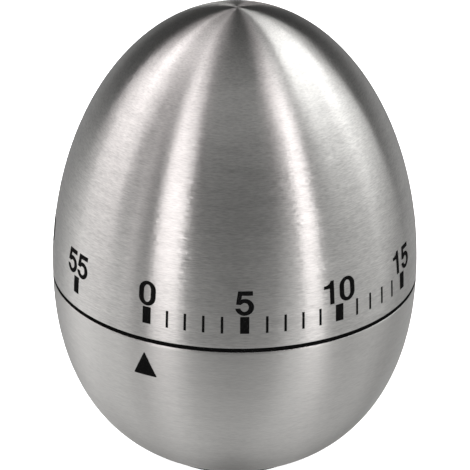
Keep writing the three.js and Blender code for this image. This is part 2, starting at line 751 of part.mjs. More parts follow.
function makeBalanceWheel() {
  const shape = new THREE.Shape(circlePoints(BALANCE.rim, 28));
  shape.holes.push(roundHole(0.55));
  const halfArm = 0.5;
  for (const side of [1, -1]) {
    const trim = Math.asin(halfArm / BALANCE.inner);
    const hubTrim = Math.asin(halfArm / 1.3);
    const hole = new THREE.Path();
    const start = side > 0 ? 0 : Math.PI;
    hole.absarc(0, 0, BALANCE.inner, start + trim, start + Math.PI - trim, false);
    hole.absarc(0, 0, 1.3, start + Math.PI - hubTrim, start + hubTrim, true);
    hole.closePath();
    shape.holes.push(hole);
  }
  return stamped(shape, BALANCE.z, BALANCE.thickness, 6);
}

// ---- stop disc, release lever, hammer and bell ----

function makeStopDisc() {
  const { radius, z, thickness, notchAngle, notchWidth, notchDepth } = STOP_DISC;
  const disc = tube(ARBOR_RADIUS + 0.12, radius, z, z + thickness, 36);
  const notch = new THREE.BoxGeometry(notchDepth * 2, notchWidth, 3);
  notch.translate(radius, 0, z);
  notch.rotateZ(THREE.MathUtils.degToRad(notchAngle));
  return joined(disc, [], [notch]);
}

// The lever's nose faces the rim of the stop disc and drops into its notch at zero.
function makeReleaseLever() {
  const noseTip = polar(STOP_DISC.radius + 0.3, STOP_DISC.notchAngle).sub(leverAt);
  const noseRoot = polar(STOP_DISC.radius + 1.7, STOP_DISC.notchAngle).sub(leverAt);
  const along = noseRoot.clone().normalize();
  const aside = new THREE.Vector2(-along.y, along.x);
  const point = (start, forward, sideways) => start.clone()
    .addScaledVector(along, forward)
    .addScaledVector(aside, sideways);
  const outline = new THREE.Shape([
    point(new THREE.Vector2(), 0, -0.8),
    point(noseRoot, -0.8, -0.1),
    point(noseTip, -0.2, 0),
    point(noseTip, 0.4, 0),
    point(noseRoot, 1.2, 0.2),
    point(noseRoot, 0.8, 1.0),
    point(new THREE.Vector2(), 0, 0.8),
  ]);
  const shape = THREE.ShapeUtils.isClockWise(outline.getPoints())
    ? new THREE.Shape(outline.getPoints().reverse())
    : outline;
  const arm = stamped(shape, STOP_DISC.z, STOP_DISC.thickness);
  const boss = rod(LEVER.boss, STOP_DISC.z, STOP_DISC.z + STOP_DISC.thickness, 16);
  const bore = rod(LEVER.bore, STOP_DISC.z - 1, STOP_DISC.z + 3, 12);
  return joined(boss, [arm], [bore]);
}

// A headed stud riveted in the lower plate, for the release lever to turn on.
function makeLeverStud() {
  return turned([
    [0, LEVER.studLow],
    [LEVER.studHead, LEVER.studLow],
    [LEVER.studHead, LEVER.studNeck],
    [LEVER.stud, LEVER.studNeck],
    [LEVER.stud, LOWER_PLATE_TOP - FIT],
    [0, LOWER_PLATE_TOP - FIT],
  ], 14);
}

// A wire coil around the Z axis with a straight leg at each end.
function makeCoilSpring({ radius, wire, turns, low, angle, leg }) {
  const points = [];
  const stepsPerTurn = 8;
  const steps = turns * stepsPerTurn;
  const pitch = wire * 2.6;
  const endAngle = angle + 360 * turns;
  const startTangent = polar(leg, angle - 90);
  const start = polar(radius, angle);
  points.push(new THREE.Vector3(start.x + startTangent.x, start.y + startTangent.y, low));
  for (let i = 0; i <= steps; i += 1) {
    const at = polar(radius, angle + 360 * i / stepsPerTurn);
    points.push(new THREE.Vector3(at.x, at.y, low + pitch * i / stepsPerTurn));
  }
  const endTangent = polar(leg, endAngle + 90);
  const end = polar(radius, endAngle);
  points.push(new THREE.Vector3(end.x + endTangent.x, end.y + endTangent.y, low + pitch * turns));
  const section = new THREE.Shape();
  section.setFromPoints(circlePoints(wire / 2, 6));
  const path = new THREE.CatmullRomCurve3(points);
  return new THREE.ExtrudeGeometry(section, {
    steps: steps + 4,
    bevelEnabled: false,
    extrudePath: path,
  });
}

function makeHammerArbor() {
  return turned([
    [0, LOWER_PLATE_Z - 0.4],
    [HAMMER.arbor, LOWER_PLATE_Z - 0.4],
    [HAMMER.arbor, HAMMER.arborTop],
    [0, HAMMER.arborTop],
  ], 12);
}

const hammerTurn = THREE.MathUtils.degToRad(HAMMER_PIVOT.angle + 90 + HAMMER_LEAN);
const hammerHeadAt = new THREE.Vector2(HAMMER_REACH, 0);
hammerHeadAt.rotateAround(new THREE.Vector2(), hammerTurn);

function makeHammerArm() {
  const end = HAMMER_REACH - HAMMER_HEAD.radius - GAP;
  const shape = new THREE.Shape([
    new THREE.Vector2(0, -0.7),
    new THREE.Vector2(end, -0.4),
    new THREE.Vector2(end, 0.4),
    new THREE.Vector2(0, 0.7),
  ]);
  const arm = stamped(shape, HAMMER.armZ, HAMMER.arm);
  arm.rotateZ(hammerTurn);
  const boss = rod(HAMMER.boss, HAMMER.armZ, HAMMER.armZ + HAMMER.arm, 16);
  const bore = rod(HAMMER.bore, HAMMER.armZ - 1, HAMMER.armZ + 2, 12);
  return joined(boss, [arm], [bore]);
}

function makeHammerHead() {
  const { radius, low, top, bevel } = HAMMER_HEAD;
  return moved(turned([
    [0, low],
    [radius - bevel, low],
    [radius, low + bevel],
    [radius, top - bevel],
    [radius - bevel, top],
    [0, top],
  ], 16), hammerHeadAt);
}

function makeBellPost() {
  const bore = ARBOR_RADIUS + 0.15;
  const low = UPPER_PLATE_TOP + FIT;
  return turned([
    [bore, low],
    [BELL_POST.flange, low],
    [BELL_POST.flange, UPPER_PLATE_TOP + BELL_POST.flangeHeight],
    [BELL_POST.radius, UPPER_PLATE_TOP + BELL_POST.flangeHeight],
    [BELL_POST.radius, BELL_POST.top],
    [bore, BELL_POST.top],
    [bore, low],
  ], 18);
}

function makeBell() {
  const { rim, rimZ, crownZ, wall, bore } = BELL;
  const depth = crownZ - rimZ;
  const flat = 6;
  const outer = [];
  const inner = [];
  const steps = 5;
  for (let i = 0; i <= steps; i += 1) {
    const angle = Math.PI / 2 * i / steps;
    const across = rim - flat;
    outer.push([flat + across * Math.cos(angle), rimZ + depth * Math.sin(angle)]);
    inner.push([flat + (across - wall) * Math.cos(angle), rimZ + (depth - wall) * Math.sin(angle)]);
  }
  return turned([
    [bore, crownZ - wall],
    ...inner.reverse(),
    ...outer,
    [bore, crownZ],
    [bore, crownZ - wall],
  ], 28);
}

// ---- assembly: shells and base ----

addPiece('base_bowl', makeBowl(), brushedSteel());
addPiece('bowl_liner', makeBowlLiner(), blackPlastic());
addPiece('base_cap', makeBaseCap(), blackPlastic());
addPiece('foot_ring', makeFootRing(), rubber());

CAP_SCREW_ANGLES.forEach((angle, index) => {
  const group = arborGroup(polar(CAP_SCREW_CIRCLE, angle));
  const { tip, headTop, headEnd, shank, head } = CAP_SCREW;
  addPiece(`cap_screw_${index + 1}`, makeScrew(tip, headTop, headEnd, shank, head), turnedSteel(), group);
});

// ---- assembly: frame of the movement ----

addPiece('lower_plate', makeLowerPlate(), brass());
addPiece('upper_plate', makeUpperPlate(), brass());

MOUNT_SCREW_ANGLES.forEach((angle, index) => {
  const group = arborGroup(polar(MOUNT_SCREW_CIRCLE, angle));
  const { tip, headHeight, shank, head } = MOUNT_SCREW;
  const headLow = LOWER_PLATE_TOP + FIT;
  const screw = makeScrew(tip, headLow, headLow + headHeight, shank, head);
  addPiece(`mount_screw_${index + 1}`, screw, turnedSteel(), group);
});

PILLAR_ANGLES.forEach((angle, index) => {
  const group = arborGroup(polar(PILLAR_CIRCLE, angle));
  addPiece(`pillar_${index + 1}`, makePillar(), brass(), group);
  const { thickness, acrossCorners } = PILLAR_NUT;
  const nut = makeHexNut(UPPER_PLATE_TOP + FIT, thickness, acrossCorners, PILLAR.hole);
  addPiece(`pillar_nut_${index + 1}`, nut, turnedSteel(), group);
});

const springPostAt = arborGroup(polar(SPRING_POST.circle, SPRING_POST.angle));
const springPost = rod(SPRING_POST.radius, LOWER_PLATE_Z + FIT, SPRING_POST.top, 12);
addPiece('mainspring_post', springPost, turnedSteel(), springPostAt);
addPiece('mainspring', makeSpiral(MAINSPRING, 16, SPRING_POST.angle), blueSteel());
addPiece('bell_post', makeBellPost(), turnedSteel());
addPiece('bell', makeBell(), nickel());
const bellNutLow = BELL.crownZ + GAP / 2;
const bellNut = makeHexNut(bellNutLow, BELL_NUT.thickness, BELL_NUT.acrossCorners, BELL_NUT.bore);
addPiece('bell_nut', bellNut, turnedSteel());

// ---- assembly: dial, turned by hand ----

addPiece('dial_dome', makeDome(), brushedSteel());
addPiece('dial_carrier', makeDialCarrier(), greyPlastic());
addPiece('main_arbor', makeMainArbor(), turnedSteel());
addPiece('arbor_clip', makeArborClip(), blueSteel());
const washer = tube(ARBOR_RADIUS + 0.15, THRUST_WASHER.radius, THRUST_WASHER.low, THRUST_WASHER.top, 20);
addPiece('thrust_washer', washer, brass());
addPiece('stop_disc', makeStopDisc(), brass());
addPiece('ratchet_wheel', makeRatchetWheel(), turnedSteel());

// ---- assembly: going train ----

const origin = new THREE.Vector2();
const greatTurn = directionFrom(origin, secondAt);
const greatWheel = makeWheel(GREAT_WHEEL, ARBOR_BODY_RADIUS + FIT);
addPiece('great_wheel', greatWheel, brass(), timer, greatTurn);
const clickAt = arborGroup(polar(CLICK_PIVOT_RADIUS, 0));
addPiece('click', makeClick(), turnedSteel(), clickAt);
const clickHead = RATCHET.z + CLICK.thickness + 0.05;
const clickHeadTop = clickHead + 0.45;
const clickScrew = makeScrew(GREAT_WHEEL.z + FIT, clickHead, clickHeadTop, CLICK.screwShank, CLICK.screwHead);
addPiece('click_screw', clickScrew, blueSteel(), clickAt);
addPiece('click_spring', makeClickSpring(), blueSteel());

function addTrainArbor(label, centre, pinion, wheel, pinionTurn, wheelTurn) {
  const group = arborGroup(centre);
  const arborRadius = TRAIN_ARBORS[label];
  const pinionGeometry = makePinionArbor(pinion, arborRadius, wheel.z);
  addPiece(`${label}_pinion`, pinionGeometry, turnedSteel(), group, pinionTurn);
  const wheelGeometry = makeWheel(wheel, arborRadius + 0.12);
  addPiece(`${label}_wheel`, wheelGeometry, brass(), group, wheelTurn);
}

// Turns a pinion so that a gap between two leaves faces the wheel that drives it.
const gapFacing = (from, to, leaves) => directionFrom(from, to) + Math.PI / leaves;
const secondTurn = gapFacing(secondAt, origin, SECOND_PINION.leaves);
const thirdTurn = gapFacing(thirdAt, secondAt, THIRD_PINION.leaves);
const escapeTurn = gapFacing(escapeAt, thirdAt, ESCAPE_PINION.leaves);
const secondWheelTurn = directionFrom(secondAt, thirdAt);
const thirdWheelTurn = directionFrom(thirdAt, escapeAt);
addTrainArbor('second', secondAt, SECOND_PINION, SECOND_WHEEL, secondTurn, secondWheelTurn);
addTrainArbor('third', thirdAt, THIRD_PINION, THIRD_WHEEL, thirdTurn, thirdWheelTurn);
addTrainArbor('escape', escapeAt, ESCAPE_PINION, ESCAPE_WHEEL, escapeTurn, 0);

// ---- assembly: escapement ----

const palletGroup = arborGroup(palletAt);
addPiece('pallet_staff', makeStaff(STAFF_RADIUS), turnedSteel(), palletGroup);
addPiece('pallet_lever', makePalletLever(), turnedSteel(), palletGroup);

const balanceGroup = arborGroup(balanceAt);
addPiece('balance_staff', makeBalanceStaff(), turnedSteel(), balanceGroup);
addPiece('balance_wheel', makeBalanceWheel(), brass(), balanceGroup);
const collet = tube(COLLET.inner, COLLET.outer, COLLET.low, COLLET.top, 14);
addPiece('hairspring_collet', collet, brass(), balanceGroup);
const hairspring = makeSpiral(HAIRSPRING, 14, 40);
addPiece('hairspring', hairspring, blueSteel(), balanceGroup);

// ---- assembly: bell work ----

const leverGroup = arborGroup(leverAt);
addPiece('release_lever', makeReleaseLever(), turnedSteel(), leverGroup);
addPiece('lever_stud', makeLeverStud(), turnedSteel(), leverGroup);
addPiece('lever_spring', makeCoilSpring(LEVER_COIL), blueSteel(), leverGroup);

const hammerGroup = arborGroup(hammerAt);
addPiece('hammer_arbor', makeHammerArbor(), turnedSteel(), hammerGroup);
addPiece('hammer_arm', makeHammerArm(), turnedSteel(), hammerGroup);
addPiece('hammer_head', makeHammerHead(), brass(), hammerGroup);
addPiece('hammer_spring', makeCoilSpring(HAMMER_COIL), blueSteel(), hammerGroup);

export default timer;
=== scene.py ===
import math

import bmesh
import bpy
from mathutils import Matrix, Vector, geometry


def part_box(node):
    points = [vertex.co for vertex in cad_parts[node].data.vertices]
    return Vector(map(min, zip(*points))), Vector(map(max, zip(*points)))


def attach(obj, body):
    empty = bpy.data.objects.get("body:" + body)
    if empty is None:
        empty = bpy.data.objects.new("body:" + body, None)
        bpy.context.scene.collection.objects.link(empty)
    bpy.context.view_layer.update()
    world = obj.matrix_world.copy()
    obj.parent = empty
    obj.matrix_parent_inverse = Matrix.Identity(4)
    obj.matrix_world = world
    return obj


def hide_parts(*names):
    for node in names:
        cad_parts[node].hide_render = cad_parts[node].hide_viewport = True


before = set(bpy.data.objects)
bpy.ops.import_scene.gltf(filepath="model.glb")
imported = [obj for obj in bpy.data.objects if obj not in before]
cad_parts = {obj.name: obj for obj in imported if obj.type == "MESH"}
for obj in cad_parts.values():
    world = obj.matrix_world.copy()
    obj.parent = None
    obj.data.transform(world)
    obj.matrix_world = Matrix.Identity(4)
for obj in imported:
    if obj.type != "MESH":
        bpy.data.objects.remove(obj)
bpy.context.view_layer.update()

# ---- camera ----
# A long lens on a tripod, a little above the timer and to the right of its pointer, rolled by
# half a degree. The timer nearly fills the square frame.

mm = 0.001
WIDEST = 32.4 * mm
CAMERA_AZIMUTH = math.radians(26.87)
CAMERA_ELEVATION = math.radians(25.0)
CAMERA_DISTANCE = 377.2 * mm
CAMERA_ROLL = math.radians(0.607)
CAMERA_RISE = 5.49 * mm
AIM_RISE = 5.06 * mm
LENS = 175.7
SENSOR = 36.0


def around_axis(radius, azimuth, height=0.0):
    """A place given by its distance from the upright axis and its angle from the pointer side."""
    return Vector((radius * math.sin(azimuth), -radius * math.cos(azimuth), height))


aim = Vector((0, 0, WIDEST + AIM_RISE))
camera_data = bpy.data.cameras.new("camera")
camera_data.lens = LENS
camera_data.sensor_width = SENSOR
camera = bpy.data.objects.new("camera", camera_data)
bpy.context.scene.collection.objects.link(camera)
camera.location = around_axis(
    CAMERA_DISTANCE * math.cos(CAMERA_ELEVATION),
    CAMERA_AZIMUTH,
    WIDEST + CAMERA_RISE + CAMERA_DISTANCE * math.sin(CAMERA_ELEVATION),
)
looking = (aim - camera.location).to_track_quat("-Z", "Y").to_matrix().to_4x4()
camera.matrix_world = Matrix.Translation(camera.location) @ looking @ Matrix.Rotation(CAMERA_ROLL, 4, "Z")
bpy.context.scene.camera = camera

# ---- floor and studio light ----
# The timer stands on a white acrylic sweep that glows faintly from below and curls up all round.
# Narrow soft boxes stand in front and broad ones at the sides and behind, most with another above,
# and a dim one hangs over the camera. The world holds the tabletop that the steel reflects.

bpy.context.scene.view_settings.view_transform = "Standard"
RING_STEPS = 240
SHARP_ANGLE = math.radians(40)
ON_AXIS = 1e-7


def turned(name, profile, around=RING_STEPS):
    """A turned part. Its profile is a closed loop of (radius, height); points on the axis close it."""
    mesh = bpy.data.meshes.new(name)
    bm = bmesh.new()
    rings = []
    for radius, height in profile:
        places = around if radius > ON_AXIS else 1
        angles = [2 * math.pi * step / around for step in range(places)]
        rings.append([
            bm.verts.new((radius * math.cos(turn), radius * math.sin(turn), height)) for turn in angles
        ])
    for index, ring in enumerate(rings):
        following = rings[(index + 1) % len(rings)]
        if len(ring) == 1 and len(following) == 1:
            continue
        for step in range(around):
            onward = (step + 1) % around
            corners = [
                ring[step % len(ring)],
                ring[onward % len(ring)],
                following[onward % len(following)],
                following[step % len(following)],
            ]
            bm.faces.new(list(dict.fromkeys(corners)))
    bmesh.ops.recalc_face_normals(bm, faces=bm.faces)
    for face in bm.faces:
        face.smooth = True
    bm.to_mesh(mesh)
    bm.free()
    mesh.set_sharp_from_angle(angle=SHARP_ANGLE)
    piece = bpy.data.objects.new(name, mesh)
    bpy.context.scene.collection.objects.link(piece)
    return piece


def add_node(tree, kind, inputs=(), **settings):
    """A shader node with its settings, and with values or links for its numbered inputs."""
    node = tree.nodes.new(kind)
    for key, value in settings.items():
        setattr(node, key, value)
    for slot, value in dict(inputs).items():
        if isinstance(value, bpy.types.NodeSocket):
            tree.links.new(value, node.inputs[slot])
        else:
            node.inputs[slot].default_value = value
    return node


def plain_finish(name, colour, roughness, metallic=0.0):
    """A material with one shader; returns it with its node tree and that shader."""
    material = bpy.data.materials.new(name)
    material.use_nodes = True
    tree = material.node_tree
    tree.nodes.clear()
    shader = add_node(tree, "ShaderNodeBsdfPrincipled")
    shader.inputs["Base Color"].default_value = (*colour, 1)
    shader.inputs["Roughness"].default_value = roughness
    shader.inputs["Metallic"].default_value = metallic
    add_node(tree, "ShaderNodeOutputMaterial", {"Surface": shader.outputs["BSDF"]})
    return material, tree, shader


SWEEP_RADIUS = 2.4
SWEEP_CURL = 0.9
SWEEP_HEIGHT = 3.0
SWEEP_SHEET = 0.01
sweep_profile = [(0.0, 0.0)]
for step in range(17):
    curl = math.pi / 2 * step / 16
    sweep_profile.append((
        SWEEP_RADIUS - SWEEP_CURL * (1 - math.sin(curl)),
        SWEEP_CURL * (1 - math.cos(curl)),
    ))
sweep_profile += [
    (SWEEP_RADIUS, SWEEP_HEIGHT),
    (SWEEP_RADIUS + SWEEP_SHEET, SWEEP_HEIGHT),
    (SWEEP_RADIUS + SWEEP_SHEET, -SWEEP_SHEET),
    (0.0, -SWEEP_SHEET),
]
sweep = turned("sweep", sweep_profile, around=64)
acrylic, _, acrylic_shader = plain_finish("white_acrylic", (0.8, 0.8, 0.8), 0.8)
acrylic_shader.inputs["Emission Color"].default_value = (1, 1, 1, 1)
acrylic_shader.inputs["Emission Strength"].default_value = 0.86
sweep.data.materials.append(acrylic)
sweep.visible_glossy = False
sweep.visible_shadow = False


def profile_ramp(tree, share, stops):
    """A smooth brightness profile: stops are (angle in degrees from the camera's side, brightness)."""
    ramp = add_node(tree, "ShaderNodeValToRGB", {0: share})
    ramp.color_ramp.interpolation = "EASE"
    while len(ramp.color_ramp.elements) < len(stops):
        ramp.color_ramp.elements.new(0.5)
    for element, (angle, brightness) in zip(ramp.color_ramp.elements, stops):
        element.position = (angle + 180) / 360
        element.color = (brightness, brightness, brightness, 1)
    return ramp.outputs["Color"]


studio = bpy.data.worlds.new("studio")
bpy.context.scene.world = studio
studio.use_nodes = True
studio_tree = studio.node_tree
sky = studio_tree.nodes["Background"]
direction = add_node(studio_tree, "ShaderNodeTexCoord")
facing_camera = add_node(
    studio_tree,
    "ShaderNodeVectorRotate",
    {"Vector": direction.outputs["Generated"], "Angle": -CAMERA_AZIMUTH},
    rotation_type="Z_AXIS",
)
facing_parts = add_node(studio_tree, "ShaderNodeSeparateXYZ", {0: facing_camera.outputs[0]})
away = add_node(studio_tree, "ShaderNodeMath", {0: facing_parts.outputs["Y"], 1: -1.0}, operation="MULTIPLY")
heading = add_node(studio_tree, "ShaderNodeMath", {0: facing_parts.outputs["X"], 1: away.outputs[0]},
                   operation="ARCTAN2")
share = add_node(studio_tree, "ShaderNodeMapRange", {0: heading.outputs[0], 1: -math.pi, 2: math.pi})
table_edge = profile_ramp(studio_tree, share.outputs[0], [
    (-180, 0.4), (-150, 0.42), (-108, 0.93), (-92, 0.74), (-76, 0.8), (-62, 0.42), (-50, 0.5), (-36, 0.66),
    (-22, 0.36), (0, 0.26), (22, 0.33), (38, 0.8), (49, 0.95), (70, 0.4), (95, 0.53), (120, 0.26),
    (148, 0.48), (180, 0.4),
])
table_middle = profile_ramp(studio_tree, share.outputs[0], [
    (-180, 0.03), (-155, 0.04), (-130, 0.48), (-95, 0.73), (-76, 0.46), (-58, 0.86), (-30, 0.6), (0, 0.6),
    (20, 0.6), (40, 0.8), (62, 0.51), (90, 0.57), (118, 0.58), (136, 0.35), (152, 0.03), (180, 0.02),
])
downward = add_node(studio_tree, "ShaderNodeMapRange", {0: facing_parts.outputs["Z"], 1: -0.6, 2: -0.74},
                    interpolation_type="SMOOTHSTEP")
table = add_node(studio_tree, "ShaderNodeMix", {0: downward.outputs[0], 6: table_edge, 7: table_middle},
                 data_type="RGBA")
upward = add_node(studio_tree, "ShaderNodeMapRange", {0: facing_parts.outputs["Z"], 1: -0.03, 2: 0.03})
DARK_ROOM = (0.055, 0.055, 0.055, 1)
around_timer = add_node(studio_tree, "ShaderNodeMix",
                        {0: upward.outputs[0], 6: table.outputs[2], 7: DARK_ROOM}, data_type="RGBA")
studio_tree.links.new(around_timer.outputs[2], sky.inputs["Color"])

LIGHT_RANGE = 1.2
NEUTRAL = (1.0, 1.0, 1.0)
WARM = (1.045, 0.99, 1.005)


def soft_box(name, azimuth, spread, low, high, brightness, colour=NEUTRAL):
    """A soft box as seen from the timer: azimuth from the camera's side, spread, lowest and highest
    angle in degrees, and the brightness of its face."""
    middle = math.radians((low + high) / 2)
    width = LIGHT_RANGE * math.cos(middle) * math.radians(spread)
    height = 2 * LIGHT_RANGE * math.tan(math.radians((high - low) / 2))
    lamp = bpy.data.lights.new(name, "AREA")
    lamp.shape = "RECTANGLE"
    lamp.size = width
    lamp.size_y = height
    lamp.color = colour
    lamp.energy = brightness * math.pi * width * height
    box = bpy.data.objects.new(name, lamp)
    bpy.context.scene.collection.objects.link(box)
    box.location = around_axis(
        LIGHT_RANGE * math.cos(middle),
        CAMERA_AZIMUTH + math.radians(azimuth),
        WIDEST + LIGHT_RANGE * math.sin(middle),
    )
    facing = Vector((0, 0, WIDEST)) - box.location
    box.rotation_euler = facing.to_track_quat("-Z", "Y").to_euler()
    box.visible_camera = False
    return box


soft_box("left_strip", -41.3, 18.4, -12, 40, 1.76, WARM)
soft_box("left_strip_top", -57, 18, 40, 70, 1.95, WARM)
soft_box("right_strip", 48, 11.5, -12, 30, 1.55, WARM)
soft_box("right_strip_top", 50, 15, 30, 67, 3.1, WARM)
soft_box("left_fill", -66, 10, -5, 42, 0.52, WARM)
soft_box("right_fill", 66, 14, -5, 38, 0.17)
soft_box("left_box", -97, 34, 5, 40, 1.24, WARM)
soft_box("left_box_back", -122, 15, 18, 50, 1.85, WARM)
soft_box("left_top", -160, 14, 60, 74, 0.9, WARM)
soft_box("left_box_top", -96, 30, 40, 70, 0.62, WARM)
soft_box("left_box_back_top", -122, 24, 40, 70, 2.6, WARM)
soft_box("right_box", 84, 20, 5, 38, 0.46)
soft_box("right_box_back", 110, 33, 5, 38, 1.28)
soft_box("right_box_top", 86, 26, 32, 68, 1.7)
soft_box("right_box_back_top", 118, 36, 34, 61, 2.75)
soft_box("right_edge", 151, 14, 30, 52, 1.8)
soft_box("front_box", 0, 76, 46, 70, 0.67)

# ---- dome ----
# The upper half of the egg, which is turned by hand. Deep drawn from 0.6 mm stainless sheet
# and brushed in a lathe, so that its grain runs in circles around the upright axis.

dome_low, dome_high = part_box("dial_dome")
EGG_RADIUS = dome_high[0]
DOME_TOP = dome_high[2]
DOME_RIM = dome_low[2]
SHEET = 0.6 * mm


def egg_line(rise, rise_power, spread_power, inset, start, end, steps):
    """Points (radius, height above the widest plane) of a rounded quarter outline, set inwards."""
    points = []
    for step in range(steps + 1):
        angle = math.pi / 2 * (start + (end - start) * step / steps)
        cosine = max(math.cos(angle), 1e-9)
        sine = max(math.sin(angle), 1e-9)
        radius = EGG_RADIUS * cosine ** (2 / spread_power)
        height = rise * sine ** (2 / rise_power)
        across = spread_power * (radius / EGG_RADIUS) ** (spread_power - 1) / EGG_RADIUS
        upward = rise_power * (height / rise) ** (rise_power - 1) / rise
        length = math.hypot(across, upward)
        points.append((max(radius - inset * across / length, 0.0), height - inset * upward / length))
    return points


def ring_grain(tree, streak, rings, detail):
    """Noise drawn out along circles around the upright axis: streak is how often it changes
    along a circle, and rings is how often from one circle to the next."""
    place = add_node(tree, "ShaderNodeTexCoord")
    parts = add_node(tree, "ShaderNodeSeparateXYZ", {0: place.outputs["Object"]})
    flat = add_node(tree, "ShaderNodeCombineXYZ", {0: parts.outputs[0], 1: parts.outputs[1]})
    radius = add_node(tree, "ShaderNodeVectorMath", {0: flat.outputs[0]}, operation="LENGTH")
    turn = add_node(tree, "ShaderNodeVectorMath", {0: flat.outputs[0]}, operation="NORMALIZE")
    lifted = add_node(tree, "ShaderNodeMath", {0: parts.outputs[2], 1: WIDEST}, operation="SUBTRACT")
    tilt = add_node(tree, "ShaderNodeMath", {0: radius.outputs["Value"], 1: lifted.outputs[0]},
                    operation="ARCTAN2")
    around = add_node(tree, "ShaderNodeVectorMath", {0: turn.outputs[0], 1: (streak, streak, streak)},
                      operation="MULTIPLY")
    level = add_node(tree, "ShaderNodeMath", {0: tilt.outputs[0], 1: rings}, operation="MULTIPLY")
    upright = add_node(tree, "ShaderNodeCombineXYZ", {2: level.outputs[0]})
    where = add_node(tree, "ShaderNodeVectorMath", {0: around.outputs[0], 1: upright.outputs[0]},
                     operation="ADD")
    grain = add_node(tree, "ShaderNodeTexNoise",
                     {"Vector": where.outputs[0], "Scale": 1.0, "Detail": detail, "Roughness": 0.62})
    return grain.outputs["Fac"]


def two_tone(tree, share, dark, light, low, high):
    """A colour that goes from dark, at the low share, to light, at the high one."""
    ramp = add_node(tree, "ShaderNodeValToRGB", {0: share})
    for element, position, colour in zip(ramp.color_ramp.elements, (low, high), (dark, light)):
        element.position = position
        element.color = (*colour, 1)
    return ramp.outputs[0]


def vary_gloss(tree, shader, noise, roughness, spread):
    """Lets the roughness follow the noise, by the spread to either side."""
    gloss = add_node(tree, "ShaderNodeMapRange", {0: noise, 3: roughness - spread, 4: roughness + spread})
    tree.links.new(gloss.outputs[0], shader.inputs["Roughness"])


STEEL = (0.67, 0.662, 0.643)
TONE_SPREAD = 0.23
GLOSS_SPREAD = 0.05
SLOPE_SPREAD = 0.055
GRAIN_DEPTH = 0.02 * mm


def brushed_steel(name, depth, roughness, stretch):
    """Satin stainless steel. Its highlights are stretched across the grain, and short fine
    scratches of the given depth vary the colour, the gloss and the slope of the surface."""
    material, tree, shader = plain_finish(name, STEEL, roughness, 1.0)
    fine = ring_grain(tree, 24.0, 200.0, 3.0)
    scratches = ring_grain(tree, 36.0, 190.0, 2.0)
    broad = ring_grain(tree, 3.0, 26.0, 2.0)
    tone = add_node(tree, "ShaderNodeMix", {0: 0.25, 2: fine, 3: broad}, data_type="FLOAT")
    dark, light = (
        [part * shade for part in STEEL] for shade in (1 - TONE_SPREAD * depth, 1 + TONE_SPREAD * depth)
    )
    tree.links.new(two_tone(tree, tone.outputs[0], dark, light, 0.3, 0.7), shader.inputs["Base Color"])
    vary_gloss(tree, shader, fine, roughness, GLOSS_SPREAD * depth)
    tangent = add_node(tree, "ShaderNodeTangent", direction_type="RADIAL", axis="Z")
    tree.links.new(tangent.outputs[0], shader.inputs["Tangent"])
    steepest = SLOPE_SPREAD * depth
    slope = add_node(tree, "ShaderNodeMapRange", {0: scratches, 3: -steepest, 4: steepest})
    sideways = add_node(tree, "ShaderNodeVectorMath", {0: tangent.outputs[0]}, operation="SCALE")
    tree.links.new(slope.outputs[0], sideways.inputs["Scale"])
    bump = add_node(tree, "ShaderNodeBump",
                    {"Strength": 0.2 * depth, "Distance": GRAIN_DEPTH, "Height": fine})
    leaning = add_node(tree, "ShaderNodeVectorMath", {0: bump.outputs[0], 1: sideways.outputs[0]},
                       operation="ADD")
    normal = add_node(tree, "ShaderNodeVectorMath", {0: leaning.outputs[0]}, operation="NORMALIZE")
    tree.links.new(normal.outputs[0], shader.inputs["Normal"])
    shader.inputs["Anisotropic"].default_value = stretch
    shader.inputs["Anisotropic Rotation"].default_value = 0.25
    return material


def dress(piece, material, body, slot, *replaced):
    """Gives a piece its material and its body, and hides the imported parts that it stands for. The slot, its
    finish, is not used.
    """
    piece.data.materials.append(material)
    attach(piece, body)
    if replaced:
        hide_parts(*replaced)
    return piece


DOME_RISE = DOME_TOP - WIDEST
DOME_POWERS = (2.0, 2.02)
dome_steel = brushed_steel("dome_steel", 1.0, 0.315, 1.0)


def dome_line(inset, steps):
    points = egg_line(DOME_RISE, *DOME_POWERS, inset, 0.004, 1.0, steps)
    return [(radius, WIDEST + height) for radius, height in points]


dome_outside = dome_line(0.0, 90)
dome_inside = dome_line(SHEET, 60)
dome_profile = [
    *dome_inside[::-1],
    (EGG_RADIUS - SHEET, DOME_RIM + 0.1 * mm),
    (EGG_RADIUS - SHEET + 0.06 * mm, DOME_RIM + 0.04 * mm),
    (EGG_RADIUS - 0.05 * mm, DOME_RIM + 0.04 * mm),
    (EGG_RADIUS - 0.01 * mm, DOME_RIM + 0.06 * mm),
    (EGG_RADIUS, DOME_RIM + 0.1 * mm),
    *dome_outside,
]
dome = turned("dome_shell", dome_profile)
dress(dome, dome_steel, "dial", "brushed_shell", "dial_dome")

# ---- minute scale ----
# Matt black ink, pad-printed round the foot of the dome: a broad tick at each fifth minute, with
# four fine ticks between them over the first quarter of an hour. It turns with the dome.

INK_RISE = 0.02 * mm
INK_GRID = 0.3 * mm
TICK_LOW = 2.35 * mm
TICK_HEIGHT = 2.8 * mm
BROAD_TICK = 1.42 * mm
FINE_TICK = 0.4 * mm
TICK_CORNER = 0.07 * mm
STEP_ANGLE = math.radians(30)
FINE_FIRST = math.radians(6.66)
FINE_PITCH = math.radians(5.56)
FINE_TICKS_UNTIL = 3


def dome_radius(height):
    rise_power, spread_power = DOME_POWERS
    return EGG_RADIUS * (1 - (height / DOME_RISE) ** rise_power) ** (1 / spread_power)


def rounded(corners, radius):
    """A closed outline with each corner cut to a short curve."""
    outline = []
    for index, corner in enumerate(corners):
        here = Vector(corner)
        before = (Vector(corners[index - 1]) - here).normalized()
        after = (Vector(corners[(index + 1) % len(corners)]) - here).normalized()
        reach = radius / math.tan(before.angle(after) / 2)
        for share in (0.0, 0.25, 0.5, 0.75, 1.0):
            curve = before * reach * (1 - share) ** 2 + after * reach * share ** 2
            outline.append(tuple(here + curve))
    return outline


